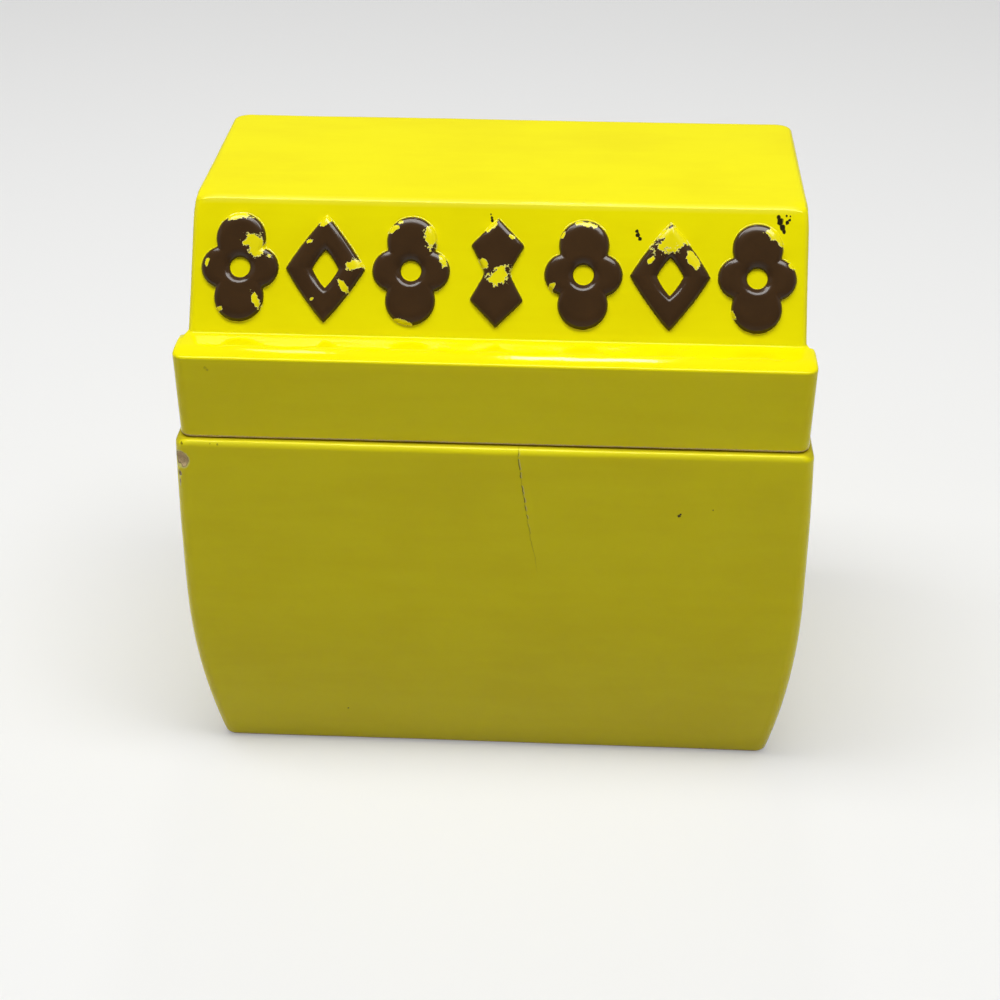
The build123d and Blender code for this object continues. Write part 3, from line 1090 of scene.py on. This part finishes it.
def brown_enamel():
    """Brown where the mesh's numbers say that the enamel is kept, and yellow glaze elsewhere."""
    finish = Finish(bpy.data.materials.new("brown_enamel"))
    ragged = finish.noise(480, 5.0, 0.66)
    cells = {"Vector": finish.place, "Scale": 900.0}
    cell = finish.node("ShaderNodeTexVoronoi", {}, cells)["Color"]
    lift = finish.mark("lift") + (finish.noise(800, 3.0, 0.6) - 0.5) * 0.35
    worn = finish.mark("worn") + (ragged - 0.5) * 1.4 + (cell - 0.5) * 0.16
    kept = finish.step(worn, 0.51, 0.49) * finish.step(lift, 0.16, 0.22)
    # a painted highlight: a thin pale band just outside the kept enamel, along each flake's edge
    edge = finish.step(worn, 0.49, 0.51) * finish.step(worn, 0.56, 0.53)
    brown = finish.mix(finish.noise(130, 3.0, 0.6), BROWN, WARM_BROWN)
    bare = finish.mix(finish.noise(60, 2.0), LEMON, DEEP_LEMON)
    bare = finish.mix(edge * 0.7, bare, PAINTED_FLAKE_HIGHLIGHT)
    colour = finish.mix(kept, bare, brown)
    roughness = 0.12 + 0.08 * finish.noise(240, 3.0, 0.6)
    smooth = finish.bump(finish.noise(420, 2.0, 0.5), ENAMEL_PEEL)
    normal = finish.bump(kept, ENAMEL_THICK, smooth)
    sockets = {"Base Color": colour, "Roughness": roughness, "Normal": normal, "IOR": ENAMEL_IOR}
    return finish.done(finish.node("ShaderNodeBsdfPrincipled", {}, sockets))


enamel = brown_enamel()
print("enamel:", enamel.name)

# %% [markdown]
# The seven ornaments stand in one row, each where its node stands. A number at each point says how
# high it is, because the enamel stops a little above the panel. Another says how worn the enamel
# is: it flaked at the tips and the upper edges first, where cards and fingers rub. Every flake is
# an ellipse on the face of its ornament, and the wear falls evenly from its middle, so that the
# noise in the finish can break its outline.

# %% How an ornament is placed
PANEL_UP = np.array([0, np.cos(SLOPE), np.sin(SLOPE)])
PANEL_OUT = np.array([0, -np.sin(SLOPE), np.cos(SLOPE)])
ROW_UP = 17.2 * MM


def flaked(aside, rise, flakes):
    """1 in the middle of each flake, 0.5 at its outline and 0 at twice its size."""
    worn = np.zeros(len(aside))
    for x, y, half_length, half_width, tilt in flakes:
        across, up = np.cos(radians(tilt)), np.sin(radians(tilt))
        along = ((aside - x) * across + (rise - y) * up) / half_length
        beside = ((rise - y) * across - (aside - x) * up) / half_width
        worn = np.maximum(worn, 1 - np.hypot(along, beside) / 2)
    return worn


def ornament(node, curves, flakes, open_window=True):
    """Builds one ornament where its node stands, and notes its height and its wear."""
    low, high = (np.array(corner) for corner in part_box(node))
    local = ornament_grid(*curves, open_window)
    middle = np.array([(low[0] + high[0]) / 2, PANEL_FOOT, LEDGE]) + ROW_UP * PANEL_UP
    across, up, out = local[..., 0:1], local[..., 1:2], local[..., 2:3]
    grid = middle + (across * np.array([1, 0, 0]) + up * PANEL_UP + out * PANEL_OUT) * MM
    mesh = grid_mesh(node + "_relief", grid, wrap_rows=open_window)
    place = points_of(mesh)
    away = (place - middle) / MM
    note(mesh, "lift", away @ PANEL_OUT)
    note(mesh, "worn", flaked(away[:, 0], away @ PANEL_UP, flakes))
    move_points(mesh, place - PANEL_OUT * waves(place)[:, None])
    place_piece(node + "_relief", mesh, node, "lid", enamel)


print("the row stands", round(ROW_UP / MM, 1), "mm up the panel")

# %% [markdown]
# The flakes are listed one by one, a few on each ornament and no two alike. Scattering them by chance
# would wear all seven evenly, which use never does.

# %% The row of ornaments
FLAKES = {
    # across and up from the ornament's middle, half length and half width in mm, tilt in degrees
    "quatrefoil_1": (
        (-1.0, 13.0, 4.2, 1.1, 5),
        (4.4, 5.6, 3.6, 2.3, -40),
        (-5.2, -11.3, 1.4, 0.7, 30),
        (4.6, -8.5, 2.6, 0.9, -60),
        (-8.3, 1.0, 0.9, 0.5, 80),
    ),
    "lozenge_1": (
        (-0.3, 12.4, 2.0, 1.4, 60),
        (7.6, 1.2, 2.6, 1.5, 10),
        (5.0, -4.8, 2.8, 0.8, -52),
        (-4.2, 7.0, 0.9, 0.5, 0),
        (-3.0, -8.0, 0.7, 0.4, 40),
    ),
    "quatrefoil_2": (
        (-4.6, 10.6, 1.4, 0.8, 40),
        (-3.0, 12.4, 0.7, 0.4, 20),
        (5.2, 9.0, 3.6, 1.7, 80),
        (8.2, 2.4, 1.8, 0.9, -70),
        (-2.0, -13.2, 2.4, 0.6, -8),
    ),
    "chain": (
        (-1.6, 12.0, 1.8, 0.8, 50),
        (0.6, -1.2, 3.0, 2.2, 35),
        (-3.6, 2.2, 1.6, 0.9, -40),
        (3.6, 9.2, 1.1, 0.5, -30),
    ),
    "quatrefoil_3": (
        (0.6, 12.8, 3.8, 0.7, -8),
        (-5.4, 9.9, 0.9, 0.5, 60),
        (-8.0, -3.4, 1.3, 0.7, 70),
    ),
    "lozenge_2": (
        (0.8, 10.2, 5.0, 3.6, 20),
        (5.6, 4.4, 2.6, 1.2, -55),
        (-5.0, 3.8, 1.1, 0.6, 50),
    ),
    "quatrefoil_4": (
        (4.7, 11.0, 3.0, 1.8, -45),
        (8.6, 3.2, 1.6, 0.8, 80),
        (-6.8, -8.7, 1.9, 0.6, -50),
    ),
}
for node, flakes in FLAKES.items():
    if node.startswith("quatrefoil"):
        ornament(node, quatrefoil_curves(), flakes)
    elif node.startswith("lozenge"):
        ornament(node, lozenge_curves(), flakes)
    else:
        ornament(node, chain_curves(), flakes, open_window=False)

# %% [markdown]
# The box stands on a wide sheet of pale paper. The camera and the glaze's reflections see it paler
# than it lights the box, and with a faint glow of its own. The light that it throws back on the
# front is weaker and a little warm, so the front stays darker than the top. A white floor with
# real white light would be simpler, but would flatten the box from below.

# %% The floor
FLOOR_HALF = 4.0
SHEET_LIGHTING = (0.42, 0.37, 0.32, 1.0)
SHEET_SEEN = (0.60, 0.60, 0.59, 1.0)
NO_GLOW = (0.0, 0.0, 0.0, 1.0)
GLOW_SEEN = (0.28, 0.28, 0.28, 1.0)

floor_mesh = bpy.data.meshes.new("floor")
corners = [(x * FLOOR_HALF, y * FLOOR_HALF, 0) for x, y in ((-1, -1), (1, -1), (1, 1), (-1, 1))]
floor_mesh.from_pydata(corners, [], [(0, 1, 2, 3)])
floor = bpy.data.objects.new("floor", floor_mesh)
scene.collection.objects.link(floor)
paper = Finish(bpy.data.materials.new("pale_paper"))
sockets = {
    "Base Color": paper.mix(paper.seen(), SHEET_LIGHTING, SHEET_SEEN),
    "Emission Color": paper.mix(paper.seen(), NO_GLOW, GLOW_SEEN),
    "Emission Strength": 1.0,
    "Roughness": 0.8,
    "Specular IOR Level": 0.1,
}
floor_mesh.materials.append(paper.done(paper.node("ShaderNodeBsdfPrincipled", {}, sockets)))
print("floor", 2 * FLOOR_HALF, "m wide")

# %% [markdown]
# One large soft lamp hangs above the box like a lit ceiling and makes the top the brightest face.
# Two small panes far behind are what the rounded front edge of the ledge reflects as two bright
# streaks. A faint lamp in front lifts the walls. The lamps at the sides draw the upright edges:
# they are faint and large, because a small bright one would show as a white patch on the glossy
# top in a view from the side. One strong lamp would be simpler, but a glaze needs things to mirror.

# %% The lamps and the world
LAMPS = (
    # name, place, width and height in metres, power in watts
    ("ceiling", (-0.02, -0.115, 1.25), 1.3, 0.42, 15.6),
    ("pane", (0.008, 1.25, 1.60), 0.175, 0.19, 1.8),
    ("narrow_pane", (-0.358, 1.25, 1.58), 0.066, 0.15, 0.24),
    ("front", (0.05, -1.6, 0.35), 1.6, 0.6, 0.6),
    ("left", (-1.1, -0.05, 0.6), 1.0, 0.9, 0.9),
    ("right", (1.1, -0.05, 0.6), 1.0, 0.9, 0.8),
)
MIDDLE_OF_BOX = Vector((0, 0, 0.08))
ROOM_GREY = (0.15, 0.15, 0.155, 1.0)

for name, place, width, height, power in LAMPS:
    data = bpy.data.lights.new(name, "AREA")
    data.shape = "RECTANGLE"
    data.size = width
    data.size_y = height
    data.energy = power
    light = bpy.data.objects.new(name, data)
    light.location = place
    light.rotation_euler = (MIDDLE_OF_BOX - Vector(place)).to_track_quat("-Z", "Y").to_euler()
    scene.collection.objects.link(light)

sky = Finish(bpy.data.worlds.new("studio"))
room = {"Color": ROOM_GREY, "Strength": 1.0}
scene.world = sky.done(sky.node("ShaderNodeBackground", {}, room))
print(len(bpy.data.lights), "lamps")

# %% [markdown] The view transform is set to Standard, so that a colour renders as it is written.

# %% Finish
scene.view_settings.view_transform = "Standard"
